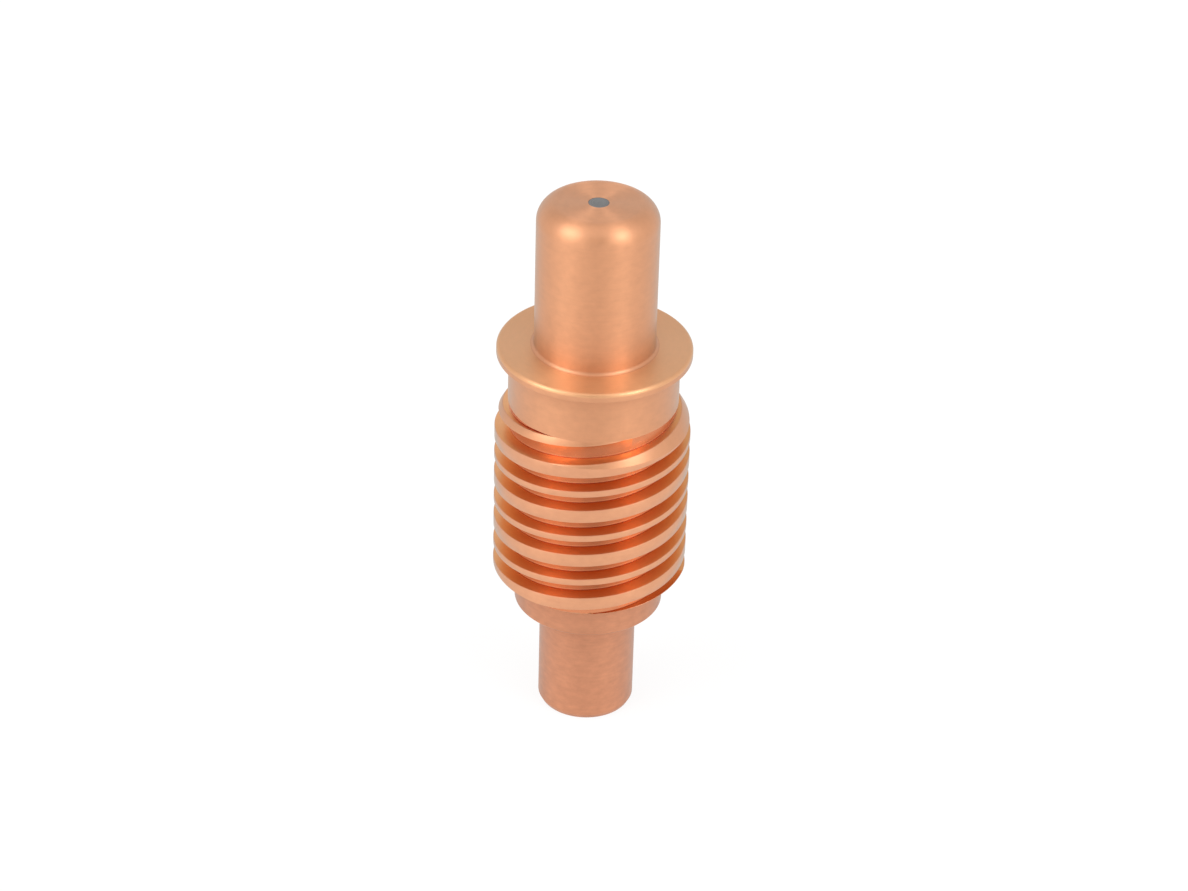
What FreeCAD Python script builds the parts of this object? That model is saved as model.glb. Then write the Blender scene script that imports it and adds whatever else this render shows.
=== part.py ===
import FreeCAD, Part
import os

import Sketcher

# Plasma torch electrode: a turned copper body with a hafnium slug pressed into its nose.
# Millimetres. The origin is the centre of the stem's end face, and +Z runs along the axis to the nose.

# Driving dimensions
SIZES = [
    ("stem_diameter", 5.52, "plain stem that the torch's socket takes"),
    ("stem_length", 6.95, "from the end face to the collar"),
    ("stem_chamfer_width", 0.14, "lead-in at the stem's end, across"),
    ("stem_chamfer_height", 0.28, "lead-in at the stem's end, along the axis"),
    ("collar_diameter", 8.48, "plain collar above the stem"),
    ("collar_length", 1.54, "from the stem to the lower cone"),
    ("collar_chamfer", 0.15, "at the collar's lower edge"),
    ("lower_cone_length", 0.97, "from the collar out to the lands"),
    ("land_diameter", 11.0, "over the lands between the cooling grooves"),
    ("land_length", 9.6, "at full diameter, between the two cones"),
    ("upper_cone_angle", 30.0, "slope from the axis, in degrees"),
    ("groove_width", 0.865, "of each cooling groove, along the axis"),
    ("groove_depth", 0.87, "from the lands to the groove's floor"),
    ("wide_land", 0.8, "land above the first groove, along the axis"),
    ("narrow_land", 0.4, "land above the second groove, along the axis"),
    ("groove_entry", 2.845, "from the lands' lower rim down to the first groove's start, towards +X"),
    ("neck_diameter", 9.54, "plain neck under the flange"),
    ("neck_length", 2.95, "from the upper cone to the flange"),
    ("flange_diameter", 10.9, "thin locating flange"),
    ("flange_thickness", 0.51, "along the axis"),
    ("flange_edge_radius", 0.2, "rounding of the flange's upper rim"),
    ("nose_diameter", 6.75, "plain nose"),
    ("nose_length", 8.83, "from the flange to the end face"),
    ("nose_edge_radius", 1.12, "large rounding at the nose's end"),
    ("nose_foot_radius", 0.2, "fillet between the nose and the flange"),
    ("insert_diameter", 1.14, "hafnium slug"),
    ("insert_length", 2.4, "depth of the slug in the nose"),
    ("insert_clearance", 0.005, "radial, between the slug and its bore"),
]

# What follows from them: heights are above the stem's end face
DERIVED = [
    ("stem_end_diameter", "stem_diameter - 2 * stem_chamfer_width"),
    ("collar_top", "stem_length + collar_length"),
    ("lower_rim", "collar_top + lower_cone_length"),
    ("upper_rim", "lower_rim + land_length"),
    ("upper_cone_length", "(land_diameter - neck_diameter) / 2 / tan(upper_cone_angle * 1deg)"),
    ("neck_foot", "upper_rim + upper_cone_length"),
    ("flange_foot", "neck_foot + neck_length"),
    ("flange_top", "flange_foot + flange_thickness"),
    ("overall_length", "flange_top + nose_length"),
    ("floor_diameter", "land_diameter - 2 * groove_depth"),
    ("cutter_diameter", "land_diameter + groove_depth"),
    ("lower_cone_slope", "2 * lower_cone_length / (land_diameter - collar_diameter)"),
    ("lower_cone_reach", "collar_top + (cutter_diameter - collar_diameter) / 2 * lower_cone_slope"),
    ("upper_cone_reach", "neck_foot - (cutter_diameter - neck_diameter) / 2 / tan(upper_cone_angle * 1deg)"),
    ("groove_lead", "2 * groove_width + wide_land + narrow_land"),
    ("first_groove_foot", "lower_rim - groove_entry"),
    ("second_groove_foot", "first_groove_foot - groove_width - narrow_land"),
    ("groove_end", "neck_foot + groove_width"),
    ("blank_foot", "second_groove_foot - groove_width"),
    ("blank_top", "groove_end + 2 * groove_width"),
    ("bore_diameter", "insert_diameter + 2 * insert_clearance"),
]

TOLERANCE = 1e-4

doc = FreeCAD.newDocument("plasma_torch_electrode")
sheet = doc.addObject("Spreadsheet::Sheet", "Sizes")


def fill_sheet():
    rows = [(alias, str(value), note) for alias, value, note in SIZES]
    rows += [(alias, "=" + formula, "") for alias, formula in DERIVED]
    for row, (alias, content, note) in enumerate(rows, start=1):
        sheet.set(f"A{row}", alias)
        sheet.set(f"B{row}", content)
        sheet.set(f"C{row}", note)
        sheet.setAlias(f"B{row}", alias)
    doc.recompute()


def size(alias):
    """A named value of the sheet, as a plain number."""
    value = sheet.get(alias)
    return float(getattr(value, "Value", value))


def new_body(label):
    body = doc.addObject("PartDesign::Body", label)
    body.Label = label
    return body


def new_sketch(body, name, role):
    """A sketch on one of the body's own origin planes."""
    sketch = body.newObject("Sketcher::SketchObject", name)
    plane = next(feature for feature in body.Origin.OriginFeatures if feature.Role == role)
    sketch.AttachmentSupport = [(plane, "")]
    sketch.MapMode = "FlatFace"
    return sketch


def bind(sketch, constraint, name, formula):
    """Adds a constraint to the sketch, with a name, and ties its value to the sheet."""
    number = sketch.addConstraint(constraint)
    sketch.renameConstraint(number, name)
    sketch.setExpression(f"Constraints.{name}", formula)


def across(sketch, line, end, diameter):
    """Dimensions a point from the axis by a diameter of the sheet."""
    constraint = Sketcher.Constraint("DistanceX", -1, 1, line, end, size(diameter) / 2)
    bind(sketch, constraint, f"{diameter}_{line}", f"Sizes.{diameter} / 2")


def up(sketch, line, end, height):
    """Dimensions a point from the stem's end face by a height of the sheet."""
    constraint = Sketcher.Constraint("DistanceY", -1, 1, line, end, size(height))
    bind(sketch, constraint, f"{height}_{line}", f"Sizes.{height}")


def turned_profile(body, name, corners):
    """A closed outline beside the axis, dimensioned corner by corner as on a turner's drawing.

    A corner is a diameter and a height. None stands for the axis, or for the stem's end face.
    """
    sketch = new_sketch(body, name, "XZ_Plane")
    points = [
        FreeCAD.Vector(size(diameter) / 2 if diameter else 0, size(height) if height else 0, 0)
        for diameter, height in corners
    ]
    ends = points[1:] + points[:1]
    for start, end in zip(points, ends):
        sketch.addGeometry(Part.LineSegment(start, end))
    for line, (diameter, height) in enumerate(corners):
        sketch.addConstraint(Sketcher.Constraint("Coincident", line - 1 if line else len(corners) - 1, 2, line, 1))
        if diameter:
            across(sketch, line, 1, diameter)
        else:
            sketch.addConstraint(Sketcher.Constraint("PointOnObject", line, 1, -2))
        if height:
            up(sketch, line, 1, height)
        else:
            sketch.addConstraint(Sketcher.Constraint("PointOnObject", line, 1, -1))
    return sketch


def turn(body, kind, name, corners):
    """Adds (Revolution) or takes away (Groove) what the outline sweeps in one turn."""
    profile = turned_profile(body, f"{name}Outline", corners)
    feature = body.newObject(f"PartDesign::{kind}", name)
    feature.Profile = profile
    feature.ReferenceAxis = (profile, ["V_Axis"])
    feature.Angle = 360
    doc.recompute()


def finish_edge(body, kind, name, diameter, height, amount):
    """Rounds (Fillet) or bevels (Chamfer) the circular edge of that diameter at that height."""
    base = body.Tip
    for number, edge in enumerate(base.Shape.Edges, start=1):
        circle = edge.Curve if isinstance(edge.Curve, Part.Circle) else None
        if (
            circle
            and abs(circle.Radius - size(diameter) / 2) < TOLERANCE
            and abs(circle.Center.z - size(height)) < TOLERANCE
        ):
            feature = body.newObject(f"PartDesign::{kind}", name)
            feature.Base = (base, [f"Edge{number}"])
            feature.setExpression("Radius" if kind == "Fillet" else "Size", f"Sizes.{amount}")
            doc.recompute()
            return
    raise RuntimeError(f"no edge for {name}")


def groove_profile(body, name, foot):
    """The square section of one cooling groove, which reaches out past the lands."""
    sketch = new_sketch(body, name, "XZ_Plane")
    floor = size("floor_diameter") / 2
    outside = size("cutter_diameter") / 2
    low = size(foot)
    high = low + size("groove_width")
    corners = [(floor, low), (outside, low), (outside, high), (floor, high)]
    for start, end in zip(corners, corners[1:] + corners[:1]):
        sketch.addGeometry(Part.LineSegment(FreeCAD.Vector(*start, 0), FreeCAD.Vector(*end, 0)))
    lower_side, closing, upper_side, bottom = range(4)
    for rule in (
        ("Coincident", lower_side, 2, closing, 1),
        ("Coincident", closing, 2, upper_side, 1),
        ("Coincident", upper_side, 2, bottom, 1),
        ("Coincident", bottom, 2, lower_side, 1),
        ("Horizontal", lower_side),
        ("Horizontal", upper_side),
        ("Vertical", closing),
        ("Vertical", bottom),
    ):
        sketch.addConstraint(Sketcher.Constraint(*rule))
    across(sketch, bottom, 1, "floor_diameter")
    across(sketch, closing, 1, "cutter_diameter")
    up(sketch, lower_side, 1, foot)
    width = Sketcher.Constraint("DistanceY", lower_side, 2, upper_side, 1, size("groove_width"))
    bind(sketch, width, "groove_width", "Sizes.groove_width")
    return sketch


def cut_groove(body, name, foot):
    """Cuts one right-hand groove in the blank, both its ends beyond the length that stays."""
    profile = groove_profile(body, f"{name}Section", foot)
    groove = body.newObject("PartDesign::SubtractiveHelix", name)
    groove.Profile = profile
    groove.ReferenceAxis = (profile, ["V_Axis"])
    groove.Mode = "pitch-height-angle"
    groove.setExpression("Pitch", "Sizes.groove_lead")
    groove.setExpression("Height", f"Sizes.groove_end - Sizes.{foot}")
    doc.recompute()


def circle_on_axis(body, name, diameter):
    sketch = new_sketch(body, name, "XY_Plane")
    circle = sketch.addGeometry(
        Part.Circle(FreeCAD.Vector(0, 0, 0), FreeCAD.Vector(0, 0, 1), size(diameter) / 2)
    )
    sketch.addConstraint(Sketcher.Constraint("Coincident", circle, 3, -1, 1))
    constraint = Sketcher.Constraint("Radius", circle, size(diameter) / 2)
    bind(sketch, constraint, diameter, f"Sizes.{diameter} / 2")
    return sketch


def electrode_body():
    """The copper body: a grooved blank, its two cones, then the plain lengths below and above it."""
    body = new_body("electrode_body")
    turn(
        body,
        "Revolution",
        "Blank",
        [
            (None, "blank_foot"),
            ("land_diameter", "blank_foot"),
            ("land_diameter", "blank_top"),
            (None, "blank_top"),
        ],
    )
    cut_groove(body, "FirstGroove", "first_groove_foot")
    cut_groove(body, "SecondGroove", "second_groove_foot")
    turn(
        body,
        "Groove",
        "LowerCone",
        [
            (None, None),
            ("cutter_diameter", None),
            ("cutter_diameter", "lower_cone_reach"),
            ("collar_diameter", "collar_top"),
            (None, "collar_top"),
        ],
    )
    turn(
        body,
        "Groove",
        "UpperCone",
        [
            (None, "neck_foot"),
            ("neck_diameter", "neck_foot"),
            ("cutter_diameter", "upper_cone_reach"),
            ("cutter_diameter", "overall_length"),
            (None, "overall_length"),
        ],
    )
    turn(
        body,
        "Revolution",
        "StemAndCollar",
        [
            (None, None),
            ("stem_end_diameter", None),
            ("stem_diameter", "stem_chamfer_height"),
            ("stem_diameter", "stem_length"),
            ("collar_diameter", "stem_length"),
            ("collar_diameter", "collar_top"),
            (None, "collar_top"),
        ],
    )
    turn(
        body,
        "Revolution",
        "NeckFlangeAndNose",
        [
            (None, "neck_foot"),
            ("neck_diameter", "neck_foot"),
            ("neck_diameter", "flange_foot"),
            ("flange_diameter", "flange_foot"),
            ("flange_diameter", "flange_top"),
            ("nose_diameter", "flange_top"),
            ("nose_diameter", "overall_length"),
            (None, "overall_length"),
        ],
    )
    finish_edge(body, "Chamfer", "CollarEdge", "collar_diameter", "stem_length", "collar_chamfer")
    finish_edge(body, "Fillet", "FlangeEdge", "flange_diameter", "flange_top", "flange_edge_radius")
    finish_edge(body, "Fillet", "NoseFoot", "nose_diameter", "flange_top", "nose_foot_radius")
    finish_edge(body, "Fillet", "NoseEdge", "nose_diameter", "overall_length", "nose_edge_radius")
    mouth = circle_on_axis(body, "BoreCircle", "bore_diameter")
    mouth.setExpression("AttachmentOffset.Base.z", "Sizes.overall_length")
    bore = body.newObject("PartDesign::Pocket", "InsertBore")
    bore.Profile = mouth
    bore.setExpression("Length", "Sizes.insert_length")
    doc.recompute()
    return body


def emitter_insert():
    """The hafnium slug, flush with the nose's end face and seated on the floor of its bore."""
    body = new_body("emitter_insert")
    outline = circle_on_axis(body, "SlugCircle", "insert_diameter")
    slug = body.newObject("PartDesign::Pad", "Slug")
    slug.Profile = outline
    slug.setExpression("Length", "Sizes.insert_length")
    body.setExpression("Placement.Base.z", "Sizes.overall_length - Sizes.insert_length")
    doc.recompute()
    return body


def check(pieces):
    """Every object of the document has to be sound before anything is written."""
    for item in doc.Objects:
        if "Invalid" in item.State or "Error" in item.State:
            raise RuntimeError(f"{item.Label} failed: {item.State}")
    for piece in pieces:
        if piece.Shape.isNull() or not piece.Shape.isValid() or len(piece.Shape.Solids) != 1:
            raise RuntimeError(f"{piece.Label} is not one sound solid")


fill_sheet()
pieces = [electrode_body(), emitter_insert()]
doc.recompute()
check(pieces)

os.makedirs("parts", exist_ok=True)
for piece in pieces:
    piece.Shape.exportStep(f"parts/{piece.Label}.step")
    print(piece.Label, round(piece.Shape.Volume, 3), "mm3", piece.Shape.BoundBox)
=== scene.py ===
import math

import bmesh
import bpy
from mathutils import Matrix, Vector


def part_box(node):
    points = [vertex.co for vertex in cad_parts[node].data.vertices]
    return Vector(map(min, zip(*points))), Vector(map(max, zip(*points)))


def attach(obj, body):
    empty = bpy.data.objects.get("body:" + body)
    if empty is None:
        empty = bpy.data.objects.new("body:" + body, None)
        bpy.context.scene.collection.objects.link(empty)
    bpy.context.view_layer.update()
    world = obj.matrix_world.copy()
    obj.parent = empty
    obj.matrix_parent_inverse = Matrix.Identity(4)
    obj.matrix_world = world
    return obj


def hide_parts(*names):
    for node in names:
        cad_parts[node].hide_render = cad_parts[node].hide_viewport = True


# Plasma torch electrode: a turned copper body with two helical cooling grooves, and a hafnium slug in its
# nose. Metres. The turning axis is +Z, and the stem's end face is at z = 0.

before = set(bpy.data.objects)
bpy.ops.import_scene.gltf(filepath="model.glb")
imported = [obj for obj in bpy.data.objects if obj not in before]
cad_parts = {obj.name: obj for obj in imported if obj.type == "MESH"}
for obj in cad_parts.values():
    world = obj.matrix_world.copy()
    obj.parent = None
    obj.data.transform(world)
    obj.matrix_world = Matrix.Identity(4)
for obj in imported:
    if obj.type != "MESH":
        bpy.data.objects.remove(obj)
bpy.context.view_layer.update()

MM = 0.001
MM_IN_METRE = 1000

# Sizes of the copper body
stem_radius = 2.76 * MM
stem_end_radius = 2.62 * MM
stem_chamfer = 0.28 * MM
stem_length = 6.95 * MM
collar_radius = 4.24 * MM
collar_length = 1.54 * MM
collar_chamfer = 0.15 * MM
lower_cone_length = 0.97 * MM
land_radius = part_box("electrode_body")[1][0]
land_length = 9.6 * MM
upper_cone_angle = math.radians(30)
groove_width = 0.865 * MM
groove_depth = 0.87 * MM
wide_land = 0.8 * MM
narrow_land = 0.4 * MM
groove_entry = 2.845 * MM
neck_radius = 4.77 * MM
neck_length = 2.95 * MM
flange_radius = 5.45 * MM
flange_thickness = 0.51 * MM
flange_rim_rounding = 0.2 * MM
nose_radius = 3.375 * MM
nose_end_rounding = 1.12 * MM
nose_foot_fillet = 0.2 * MM

# Sizes of the hafnium slug and its bore
slug_radius = 0.57 * MM
slug_length = 2.4 * MM
slug_clearance = 0.005 * MM

# Edges as the tool leaves them
edge_break = 0.04 * MM
slug_edge_break = edge_break / 2
floor_corner = 0.08 * MM
tool_corner = 0.1 * MM

# Heights that follow
collar_top = stem_length + collar_length
lower_rim = collar_top + lower_cone_length
upper_rim = lower_rim + land_length
neck_foot = upper_rim + (land_radius - neck_radius) / math.tan(upper_cone_angle)
flange_foot = neck_foot + neck_length
flange_top = flange_foot + flange_thickness
nose_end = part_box("electrode_body")[1][2]
floor_radius = land_radius - groove_depth
first_foot = lower_rim - groove_entry - narrow_land - groove_width

# Facets
turn_steps = 360
arc_steps = 16
break_steps = 4
grooves_in_section = 12
WELD = 0.002 * MM
TOO_SHORT = WELD / 4
SHARP = math.radians(28)


class Wire:
    """An output of a node, on which arithmetic adds Math nodes to the same tree."""

    def __init__(self, graph, socket):
        self.graph = graph
        self.socket = socket

    def math(self, operation, *others):
        return self.graph.node("ShaderNodeMath", {"operation": operation}, dict(enumerate((self, *others))))

    def __add__(self, other):
        return self.math("ADD", other)

    def __sub__(self, other):
        return self.math("SUBTRACT", other)

    def __rsub__(self, other):
        return self.graph.node("ShaderNodeMath", {"operation": "SUBTRACT"}, {0: other, 1: self})

    def __mul__(self, other):
        return self.math("MULTIPLY", other)

    def __truediv__(self, other):
        return self.math("DIVIDE", other)

    __radd__ = __add__


class Graph:
    """A node tree being written."""

    def __init__(self, tree):
        self.tree = tree

    def node(self, kind, settings=None, inputs=None, output=0):
        """Adds a node with its settings first, then the values or wires of its sockets."""
        node = self.tree.nodes.new(kind)
        for name, value in (settings or {}).items():
            if name == "stops":
                ramp = node.color_ramp
                while len(ramp.elements) < len(value):
                    ramp.elements.new(1.0)
                for element, (position, colour) in zip(ramp.elements, value):
                    element.position = position
                    element.color = colour
            elif name == "items":
                while len(node.index_switch_items) < value:
                    node.index_switch_items.new()
            else:
                setattr(node, name, value)
        for key, value in (inputs or {}).items():
            if isinstance(value, Wire):
                self.tree.links.new(value.socket, node.inputs[key])
            else:
                node.inputs[key].default_value = value
        return Wire(self, node.outputs[output]) if len(node.outputs) else node

    def pick(self, index, values):
        """The value whose place in the list is the index."""
        inputs = {place + 1: value for place, value in enumerate(values)}
        inputs[0] = index
        return self.node("GeometryNodeIndexSwitch", {"data_type": "FLOAT", "items": len(values)}, inputs)


def grooved_length():
    """Geometry Nodes tree of the cooling length: both cones, with the lands, grooves and run-outs.

    The mesh is a grid rolled up round the axis. Each of its columns is a section through the axis, and its
    rows climb with the helix. A section has the same stations at every groove, which close up where there is
    none.
    """
    tree = bpy.data.node_groups.new("grooved length", "GeometryNodeTree")
    sockets = tree.interface
    sizes = {
        "Land radius": land_radius,
        "Floor radius": floor_radius,
        "Collar radius": collar_radius,
        "Neck radius": neck_radius,
        "Collar top": collar_top,
        "Lower rim": lower_rim,
        "Upper rim": upper_rim,
        "Neck foot": neck_foot,
        "First groove's foot": first_foot,
        "Groove width": groove_width,
        "Wide land": wide_land,
        "Narrow land": narrow_land,
        "Edge break": edge_break,
        "Floor corner": floor_corner,
    }
    counts = {"Steps in a turn": turn_steps, "Grooves in a section": grooves_in_section}
    sockets.new_socket("Geometry", in_out="INPUT", socket_type="NodeSocketGeometry")
    for name in sizes:
        sockets.new_socket(name, in_out="INPUT", socket_type="NodeSocketFloat")
    for name in counts:
        sockets.new_socket(name, in_out="INPUT", socket_type="NodeSocketInt")
    for name in ("Land finish", "Cone finish", "Groove finish and painted glow", "Groove floor finish and painted shade"):
        sockets.new_socket(name, in_out="INPUT", socket_type="NodeSocketMaterial")
    sockets.new_socket("Geometry", in_out="OUTPUT", socket_type="NodeSocketGeometry")

    graph = Graph(tree)
    given = tree.nodes.new("NodeGroupInput")
    size = {output.name: Wire(graph, output) for output in given.outputs if output.name}
    land, floor_ = size["Land radius"], size["Floor radius"]
    collar, neck = size["Collar radius"], size["Neck radius"]
    bottom, top = size["Collar top"], size["Neck foot"]
    width, narrow, wide = size["Groove width"], size["Narrow land"], size["Wide land"]
    broken, corner = size["Edge break"], size["Floor corner"]

    def clamp(value, low, high):
        return value.math("MAXIMUM", low).math("MINIMUM", high)

    stations = 15
    rows = size["Grooves in a section"] * stations
    columns = size["Steps in a turn"]
    grid = graph.node("GeometryNodeMeshGrid", {}, {"Vertices X": columns + 1, "Vertices Y": rows})
    place = graph.node("GeometryNodeInputIndex")
    # The halves keep a rounded quotient on the right side of a whole number.
    column = ((place + 0.5) / rows).math("FLOOR")
    row = place - column * rows
    groove = ((row + 0.5) / stations).math("FLOOR")
    station = row - groove * stations
    turn = column / columns
    pair = (groove / 2).math("FLOOR")
    second = groove - pair * 2

    climb = (width + width + wide + narrow) * (pair + turn)
    foot = size["First groove's foot"] + climb + (width + narrow) * second
    head = foot + width
    land_start = foot - wide + (wide - narrow) * second + broken
    land_end = foot - broken
    # The middle of a rounding's arc stands off from either face by this share of its radius.
    swell = 1 - math.sqrt(0.5)
    lower_slope = (land - collar) / (size["Lower rim"] - bottom)
    upper_slope = (land - neck) / (top - size["Upper rim"])
    # Here the lower cone passes the radius of the floors.
    kink = bottom + (floor_ - collar) / lower_slope

    height = graph.pick(
        station,
        [
            clamp(size["Lower rim"], land_start, land_end),
            clamp(size["Upper rim"], land_start, land_end),
            land_end,
            foot - broken * swell,
            foot,
            foot,
            foot + corner * swell,
            foot + corner,
            clamp(kink, foot + corner, head - corner),
            head - corner,
            head - corner * swell,
            head,
            head,
            head + broken * swell,
            head + broken,
        ],
    )
    height = clamp(height, bottom, top)

    def blank_radius(level):
        """Radius of the two cones and the lands at a height, before the grooves are cut."""
        cones = (collar + (level - bottom) * lower_slope).math("MINIMUM", neck + (top - level) * upper_slope)
        return cones.math("MINIMUM", land)

    envelope = blank_radius(height)
    # How far inside the blank each station stands, and then how far outside the floors.
    edge_middle = broken * swell
    taken = graph.pick(station, [0.0, 0.0, 0.0, edge_middle, broken, *[land] * 7, broken, edge_middle, 0.0])
    corner_middle = corner * swell
    run_out = corner_middle * (foot + corner).math("GREATER_THAN", top)
    above_floor = [*[corner] * 6, corner_middle, run_out, run_out, run_out, corner_middle, *[corner] * 4]
    raised = graph.pick(station, above_floor)
    present = top.math("GREATER_THAN", foot)
    radius = (envelope - taken * present).math("MAXIMUM", (floor_ + raised).math("MINIMUM", envelope))

    angle = turn * math.tau
    position = graph.node(
        "ShaderNodeCombineXYZ",
        {},
        {"X": radius * angle.math("COSINE"), "Y": radius * angle.math("SINE"), "Z": height},
    )
    rolled = graph.node("GeometryNodeSetPosition", {}, {"Geometry": grid, "Position": position})
    welded = graph.node("GeometryNodeMergeByDistance", {}, {"Geometry": rolled, "Distance": WELD})
    real = graph.node("GeometryNodeRealizeInstances", {}, {"Geometry": welded})
    turned = graph.node("GeometryNodeSetMaterial", {}, {"Geometry": real, "Material": size["Land finish"]})
    split = graph.node("ShaderNodeSeparateXYZ", {}, {"Vector": graph.node("GeometryNodeInputPosition")})
    x, y, level = (Wire(graph, output) for output in split.socket.node.outputs)
    out_from_axis = (x * x + y * y).math("SQRT")
    # The groove walls, which take the finish with painted glow.
    cut = (blank_radius(level) - out_from_axis).math("GREATER_THAN", broken)
    # The floors of the grooves, which take the finish with painted shade.
    at_floor_painted_shade = cut * (floor_ + corner).math("GREATER_THAN", out_from_axis)
    on_lower_cone = size["Lower rim"].math("GREATER_THAN", level)
    on_upper_cone = level.math("GREATER_THAN", size["Upper rim"])
    finished = turned
    for chosen, finish in (
        (on_lower_cone.math("MAXIMUM", on_upper_cone), "Cone finish"),
        (cut, "Groove finish and painted glow"),
        (at_floor_painted_shade, "Groove floor finish and painted shade"),
    ):
        sockets_in = {"Geometry": finished, "Selection": chosen, "Material": size[finish]}
        finished = graph.node("GeometryNodeSetMaterial", {}, sockets_in)
    result = tree.nodes.new("NodeGroupOutput")
    tree.links.new(finished.socket, result.inputs[0])
    return tree, {**sizes, **counts}


def mesh_of_tree(tree, values):
    """What a Geometry Nodes tree makes, as a plain mesh."""
    carrier = bpy.data.objects.new("carrier", bpy.data.meshes.new("carrier"))
    bpy.context.scene.collection.objects.link(carrier)
    modifier = carrier.modifiers.new("Shape", "NODES")
    modifier.node_group = tree
    for item in tree.interface.items_tree:
        if item.item_type == "SOCKET" and item.in_out == "INPUT" and item.name in values:
            modifier[item.identifier] = values[item.name]
    depsgraph = bpy.context.evaluated_depsgraph_get()
    mesh = bpy.data.meshes.new_from_object(carrier.evaluated_get(depsgraph))
    bpy.data.objects.remove(carrier)
    return mesh


def rounded_outline(corners):
    """Points of an outline beside the axis, whose corners are (radius, height, rounding)."""
    points = []
    for place, (across, up, rounding) in enumerate(corners):
        here = Vector((across, up))
        if not rounding:
            points.append(here)
            continue
        before = (Vector(corners[place - 1][:2]) - here).normalized()
        after = (Vector(corners[place + 1][:2]) - here).normalized()
        half = before.angle(after) / 2
        centre = here + (before + after).normalized() * (rounding / math.sin(half))
        start = here + before * (rounding / math.tan(half)) - centre
        sweep = math.pi - 2 * half
        if start.y * before.x - start.x * before.y < 0:
            sweep = -sweep
        steps = arc_steps if rounding > tool_corner else break_steps
        for step in range(steps + 1):
            points.append(centre + Matrix.Rotation(sweep * step / steps, 2) @ start)
    return points


def turn_outline(mesh, outline, finish=0):
    """Adds to a bmesh the surface that an outline sweeps round the axis, and numbers its finish."""
    rings = []
    for point in outline:
        if point.x < WELD:
            rings.append([mesh.verts.new((0, 0, point.y))] * turn_steps)
            continue
        rings.append([
            mesh.verts.new((
                point.x * math.cos(math.tau * step / turn_steps),
                point.x * math.sin(math.tau * step / turn_steps),
                point.y,
            ))
            for step in range(turn_steps)
        ])
    for low, high in zip(rings, rings[1:]):
        for step in range(turn_steps):
            follow = (step + 1) % turn_steps
            corners = [low[step], low[follow], high[follow], high[step]]
            mesh.faces.new(list(dict.fromkeys(corners))).material_index = finish


def finished_piece(name, mesh, materials):
    """Welds, smooths and weighs the normals of a bmesh, and makes it an object."""
    bmesh.ops.remove_doubles(mesh, verts=mesh.verts, dist=WELD)
    bmesh.ops.dissolve_degenerate(mesh, edges=mesh.edges, dist=TOO_SHORT)
    bmesh.ops.recalc_face_normals(mesh, faces=mesh.faces)
    for face in mesh.faces:
        face.smooth = True
    for edge in mesh.edges:
        edge.smooth = len(edge.link_faces) == 2 and edge.calc_face_angle(0.0) < SHARP
    data = bpy.data.meshes.new(name)
    for material in materials:
        data.materials.append(material)
    mesh.to_mesh(data)
    mesh.free()
    raw = bpy.data.objects.new(name + "_raw", data)
    bpy.context.scene.collection.objects.link(raw)
    weigh = raw.modifiers.new("Weigh", "WEIGHTED_NORMAL")
    weigh.keep_sharp = True
    weigh.weight = 100
    depsgraph = bpy.context.evaluated_depsgraph_get()
    final = bpy.data.meshes.new_from_object(raw.evaluated_get(depsgraph))
    bpy.data.objects.remove(raw)
    final.name = name
    piece = bpy.data.objects.new(name, final)
    bpy.context.scene.collection.objects.link(piece)
    return piece


def copper_body(turned, grooved, floor_painted_shade, faced, flange_painted_highlight, foot_painted_shade):
    """Stem, collar, grooved length, neck, flange and nose in one closed mesh."""
    tree, values = grooved_length()
    values["Land finish"] = turned
    values["Cone finish"] = faced
    values["Groove finish and painted glow"] = grooved
    values["Groove floor finish and painted shade"] = floor_painted_shade
    cooled = mesh_of_tree(tree, values)
    finishes = [turned, grooved, floor_painted_shade, faced, flange_painted_highlight, foot_painted_shade]
    mesh = bmesh.new()
    mesh.from_mesh(cooled)
    for face in mesh.faces:
        face.material_index = finishes.index(cooled.materials[face.material_index])
    below = [
        (0.0, 0.0, 0.0),
        (stem_end_radius, 0.0, edge_break),
        (stem_radius, stem_chamfer, edge_break),
        (stem_radius, stem_length, edge_break),
        (collar_radius - collar_chamfer, stem_length, edge_break),
        (collar_radius, stem_length + collar_chamfer, edge_break),
        (collar_radius, collar_top, 0.0),
    ]
    neck = [
        (neck_radius, neck_foot, 0.0),
        (neck_radius, flange_foot, tool_corner),
        (flange_radius, flange_foot, edge_break),
        (flange_radius, flange_top - flange_rim_rounding, 0.0),
    ]
    flange = [
        (flange_radius, flange_top - flange_rim_rounding, 0.0),
        (flange_radius, flange_top, flange_rim_rounding),
        (nose_radius + nose_foot_fillet, flange_top, 0.0),
    ]
    nose = [
        (nose_radius + nose_foot_fillet, flange_top, 0.0),
        (nose_radius, flange_top, nose_foot_fillet),
        (nose_radius, nose_end, nose_end_rounding),
        (slug_radius + slug_clearance, nose_end, 0.0),
        (slug_radius + slug_clearance, nose_end - slug_length, 0.0),
        (0.0, nose_end - slug_length, 0.0),
    ]
    turn_outline(mesh, rounded_outline(neck), finishes.index(faced))
    # The flange's top and rim rounding take the finish with painted highlight.
    turn_outline(mesh, rounded_outline(flange), finishes.index(flange_painted_highlight))
    turn_outline(mesh, rounded_outline(nose), finishes.index(faced))
    # The stem and collar take the finish with painted shade.
    turn_outline(mesh, rounded_outline(below), finishes.index(foot_painted_shade))
    return finished_piece("copper_body", mesh, finishes)


def hafnium_slug(material):
    """The emitter: a plain slug, faced flush with the nose."""
    mesh = bmesh.new()
    turn_outline(mesh, rounded_outline([
        (0.0, nose_end - slug_length, 0.0),
        (slug_radius, nose_end - slug_length, 0.0),
        (slug_radius, nose_end, slug_edge_break),
        (0.0, nose_end, 0.0),
    ]))
    return finished_piece("hafnium_slug", mesh, [material])


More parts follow.
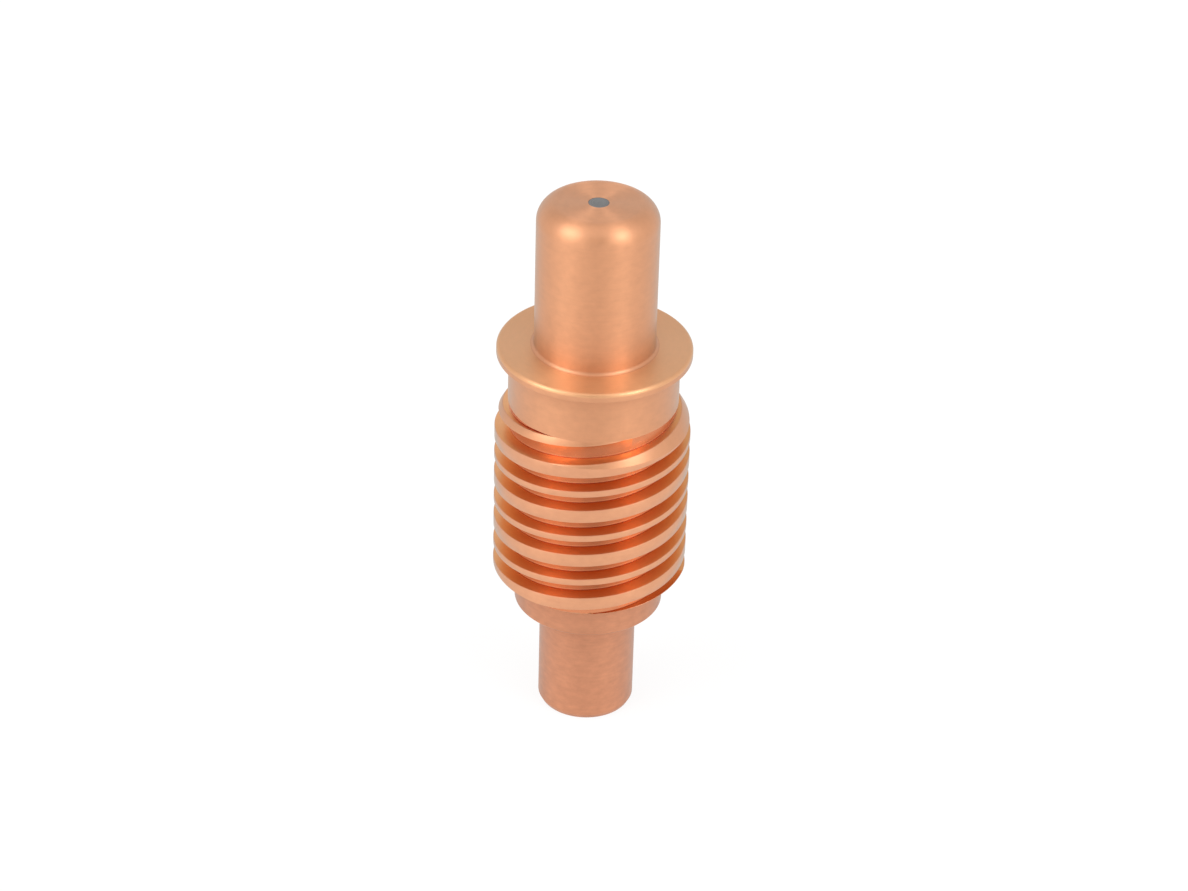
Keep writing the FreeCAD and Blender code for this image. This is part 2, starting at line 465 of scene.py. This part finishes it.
def new_material(name):
    """A material with an empty node tree, and the tree to write."""
    material = bpy.data.materials.new(name)
    material.use_nodes = True
    material.node_tree.nodes.clear()
    return material, Graph(material.node_tree)


def metal_surface(graph, settings):
    """Ends the tree in a Principled metal."""
    surface = graph.node("ShaderNodeBsdfPrincipled", {}, {"Metallic": 1.0, **settings})
    graph.node("ShaderNodeOutputMaterial", {}, {"Surface": surface})


def turned_coordinates(graph):
    """Object coordinates in millimetres: x, y, and the height plus the radius."""
    point = graph.node("ShaderNodeTexCoord", output="Object")
    split = graph.node("ShaderNodeSeparateXYZ", {}, {"Vector": point})
    x, y, z = (Wire(graph, output) * MM_IN_METRE for output in split.socket.node.outputs)
    radius = (x * x + y * y).math("SQRT")
    return x, y, z + radius


def turned_noise(graph, place, across, along, detail, roughness):
    """Noise at a turned place, with so many cells in a millimetre across the axis and along it."""
    x, y, height_and_radius = place
    parts = {"X": x * across, "Y": y * across, "Z": height_and_radius * along}
    stretched = graph.node("ShaderNodeCombineXYZ", {}, parts)
    inputs = {"Vector": stretched, "Scale": 1.0, "Detail": detail, "Roughness": roughness}
    return graph.node("ShaderNodeTexNoise", {}, inputs)


def between(graph, dark, pale, start, end, value):
    """The colour that runs from dark to pale while the value runs from start to end."""
    stops = [(start, (*dark, 1)), (end, (*pale, 1))]
    return graph.node("ShaderNodeValToRGB", {"stops": stops}, {"Fac": value})


def turned_copper(name, dark, pale, metal, dull, uneven, spread, depth):
    """Copper off the lathe: fine marks round the axis, under smears and handling marks.

    Dark and pale are the ends of its colour. Metal is how clean it is of oxide, and under 1 it has a thin
    film and darker edges. Dull is its least roughness, and uneven is how much that varies. Spread is how far
    the gloss spreads across the marks, and depth is how strongly they show.
    """
    material, graph = new_material(name)
    place = turned_coordinates(graph)
    marks = turned_noise(graph, place, across=0.12, along=9.0, detail=3.0, roughness=0.6)
    smears = turned_noise(graph, place, across=1.8, along=2.6, detail=4.0, roughness=0.55)
    smears_in_colour, marks_in_colour = 0.72, 0.28
    smears_in_gloss, marks_in_gloss = 0.6, 0.4
    tone = smears * smears_in_colour + marks * marks_in_colour
    gloss = marks * marks_in_gloss + smears * smears_in_gloss
    mark_depth = 4e-6
    bump = graph.node("ShaderNodeBump", {}, {"Strength": depth, "Distance": mark_depth, "Height": marks})
    filmed = metal < 1
    dark_edges = (0.5, 0.84, 0.97, 1)
    plain_edges = (1, 1, 1, 1)
    quarter_turn = 0.25
    metal_surface(graph, {
        "Metallic": metal,
        "Base Color": between(graph, dark, pale, start=0.32, end=0.68, value=tone),
        "Roughness": dull + gloss * uneven,
        "Anisotropic": spread,
        "Anisotropic Rotation": quarter_turn,
        "Specular Tint": dark_edges if filmed else plain_edges,
        "Coat Weight": 0.3 if filmed else 0.0,
        "Coat Roughness": 0.3,
        "Normal": bump,
    })
    return material


def faced_hafnium():
    """Dull grey metal with the same facing marks as the nose's end."""
    material, graph = new_material("faced hafnium")
    place = turned_coordinates(graph)
    marks = turned_noise(graph, place, across=0.5, along=16.0, detail=3.0, roughness=0.5)
    dark_grey, pale_grey = (0.2, 0.2, 0.2), (0.27, 0.27, 0.27)
    mark_depth = 3e-6
    bump = graph.node("ShaderNodeBump", {}, {"Strength": 0.3, "Distance": mark_depth, "Height": marks})
    dull, uneven = 0.38, 0.1
    metal_surface(graph, {
        "Base Color": between(graph, dark_grey, pale_grey, start=0.3, end=0.7, value=marks),
        "Roughness": dull + marks * uneven,
        "Normal": bump,
    })
    return material


def seen_directly(graph):
    """1 for what the camera, a gloss or a clear material sees, 0 for what lights the object."""
    path = graph.node("ShaderNodeLightPath", output="Is Camera Ray")
    outputs = path.socket.node.outputs
    seen = path.math("MAXIMUM", Wire(graph, outputs["Is Glossy Ray"]))
    return seen.math("MAXIMUM", Wire(graph, outputs["Is Transmission Ray"]))


def white_floor():
    """The plain floor: white where it is seen, with a faint shadow."""
    mesh = bpy.data.meshes.new("floor")
    reach = 3.0
    corners = [(-reach, -reach, 0), (reach, -reach, 0), (reach, reach, 0), (-reach, reach, 0)]
    mesh.from_pydata(corners, [], [(0, 1, 2, 3)])
    floor_ = bpy.data.objects.new("floor", mesh)
    bpy.context.scene.collection.objects.link(floor_)
    material, graph = new_material("white paper floor")
    paper_white = (0.95, 0.95, 0.95, 1)
    glow_where_seen = 0.85
    diffuse = graph.node("ShaderNodeBsdfDiffuse", {}, {"Color": paper_white})
    glow = graph.node("ShaderNodeEmission", {}, {"Color": (1, 1, 1, 1), "Strength": 1.0})
    shares = {0: seen_directly(graph) * glow_where_seen, 1: diffuse, 2: glow}
    mix = graph.node("ShaderNodeMixShader", {}, shares)
    graph.node("ShaderNodeOutputMaterial", {}, {"Surface": mix})
    mesh.materials.append(material)


def white_surroundings():
    """White all round, brighter above at the front and greyer above at the back.

    It is dark in front at about the camera's height, where the tent is open. The directions have a length
    of 1: aside is to the right, forth is away from the camera's side, and up is up.
    """
    world = bpy.data.worlds.new("white surroundings")
    world.use_nodes = True
    world.node_tree.nodes.clear()
    graph = Graph(world.node_tree)
    direction = graph.node("ShaderNodeTexCoord", output="Generated")
    split = graph.node("ShaderNodeSeparateXYZ", {}, {"Vector": direction}).socket.node
    aside, forth, up = (Wire(graph, output) for output in split.outputs)

    def smooth(value, start, end, low, high):
        """Low up to the start, high from the end on, and a smooth step between the two."""
        inputs = {"Value": value, "From Min": start, "From Max": end, "To Min": low, "To Max": high}
        return graph.node("ShaderNodeMapRange", {"interpolation_type": "SMOOTHSTEP"}, inputs)

    above = smooth(up, start=0.1, end=0.6, low=0.0, high=1.0)
    ceiling = above * smooth(forth, start=-0.2, end=0.5, low=0.34, high=-0.23) + 1
    beside = smooth(aside.math("ABSOLUTE"), start=0.15, end=0.38, low=1.0, high=0.0)
    over_its_foot = smooth(up, start=0.1, end=0.4, low=0.0, high=1.0)
    under_its_top = smooth(up, start=0.57, end=0.74, low=1.0, high=0.0)
    opening = beside * (over_its_foot * under_its_top)
    strength = ceiling * (1 - opening * smooth(forth, start=-0.3, end=0.0, low=0.95, high=0.0))
    background = graph.node("ShaderNodeBackground", {}, {"Color": (1, 1, 1, 1), "Strength": strength})
    graph.node("ShaderNodeOutputWorld", {}, {"Surface": background})
    bpy.context.scene.world = world


def aim(thing, eye, target):
    """Puts a thing at the eye, with its -Z axis toward the target."""
    turn = (target - eye).to_track_quat("-Z", "Y").to_matrix()
    thing.matrix_world = Matrix.Translation(eye) @ turn.to_4x4()


def soft_box(name, azimuth, elevation, width, height, radiance):
    """A soft box that looks at the middle of the electrode. Azimuth 0 is the camera's side."""
    reach = 0.5
    middle = Vector((0, 0, nose_end / 2))
    azimuth, elevation = math.radians(azimuth), math.radians(elevation)
    toward = Vector((
        math.cos(elevation) * math.sin(azimuth),
        -math.cos(elevation) * math.cos(azimuth),
        math.sin(elevation),
    ))
    light = bpy.data.lights.new(name, "AREA")
    light.shape = "RECTANGLE"
    light.size = width
    light.size_y = height
    light.energy = radiance * width * height * math.pi
    lamp = bpy.data.objects.new(name, light)
    bpy.context.scene.collection.objects.link(lamp)
    aim(lamp, middle + toward * reach, middle)


def photograph_camera():
    """The camera at the photograph's angle: from above, a long lens, and a slight lean."""
    elevation = math.radians(32.407)
    lean = math.radians(1.647)
    distance = 192.9 * MM
    target = Vector((0.112 * MM, 0, 17.12 * MM))
    focal_pixels = 3430
    picture_width = 1188
    back = Vector((0, -math.cos(elevation), math.sin(elevation)))
    level = Vector((1, 0, 0))
    upward = back.cross(level)
    right = level * math.cos(lean) + upward * math.sin(lean)
    up = upward * math.cos(lean) - level * math.sin(lean)
    eye = target + back * distance
    data = bpy.data.cameras.new("camera")
    data.sensor_fit = "HORIZONTAL"
    data.lens = focal_pixels / picture_width * data.sensor_width
    data.clip_start = 0.01
    camera = bpy.data.objects.new("camera", data)
    bpy.context.scene.collection.objects.link(camera)
    camera.matrix_world = Matrix((
        (right.x, up.x, back.x, eye.x),
        (right.y, up.y, back.y, eye.y),
        (right.z, up.z, back.z, eye.z),
        (0, 0, 0, 1),
    ))
    bpy.context.scene.camera = camera


body = copper_body(
    turned=turned_copper(
        "turned copper", dark=(0.71, 0.325, 0.173), pale=(0.78, 0.368, 0.196),
        metal=0.88, dull=0.25, uneven=0.2, spread=0.8, depth=0.3,
    ),
    # Groove walls: their own finish, and a brighter, more golden colour than the lands, which is painted
    # glow of light bounced inside the grooves.
    grooved=turned_copper(
        "grooved copper", dark=(0.76, 0.37, 0.155), pale=(0.82, 0.395, 0.168),
        metal=1.0, dull=0.27, uneven=0.02, spread=0.85, depth=0.03,
    ),
    # Groove floors: their own finish, and a darker, redder colour than the walls, which is painted shade in
    # the bottoms of the grooves.
    floor_painted_shade=turned_copper(
        "groove floor copper", dark=(0.68, 0.255, 0.125), pale=(0.73, 0.275, 0.135),
        metal=1.0, dull=0.21, uneven=0.1, spread=0.75, depth=0.03,
    ),
    faced=turned_copper(
        "faced copper", dark=(0.675, 0.313, 0.16), pale=(0.75, 0.352, 0.182),
        metal=0.85, dull=0.34, uneven=0.2, spread=0.85, depth=0.4,
    ),
    # Flange top and rim rounding: their own finish, and a brighter, more golden colour than the nose, which
    # is painted highlight and reflection of the soft boxes and the nose.
    flange_painted_highlight=turned_copper(
        "flange copper", dark=(0.78, 0.4, 0.198), pale=(0.83, 0.427, 0.212),
        metal=0.9, dull=0.35, uneven=0.15, spread=0.85, depth=0.3,
    ),
    # Stem and collar: a rougher finish, and a darker colour than the rest, which is painted shade near the
    # floor and under the overhangs above them.
    foot_painted_shade=turned_copper(
        "handled copper", dark=(0.56, 0.238, 0.127), pale=(0.68, 0.297, 0.16),
        metal=0.85, dull=0.42, uneven=0.2, spread=0.65, depth=0.4,
    ),
)
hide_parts("electrode_body")
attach(body, "root")

slug = hafnium_slug(faced_hafnium())
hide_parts("emitter_insert")
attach(slug, "root")

white_floor()
white_surroundings()
soft_box("left soft box", azimuth=-63, elevation=42, width=0.28, height=0.3, radiance=2.9)
soft_box("right soft box", azimuth=53, elevation=42, width=0.2, height=0.3, radiance=3.25)
photograph_camera()
bpy.context.scene.view_settings.view_transform = "Standard"
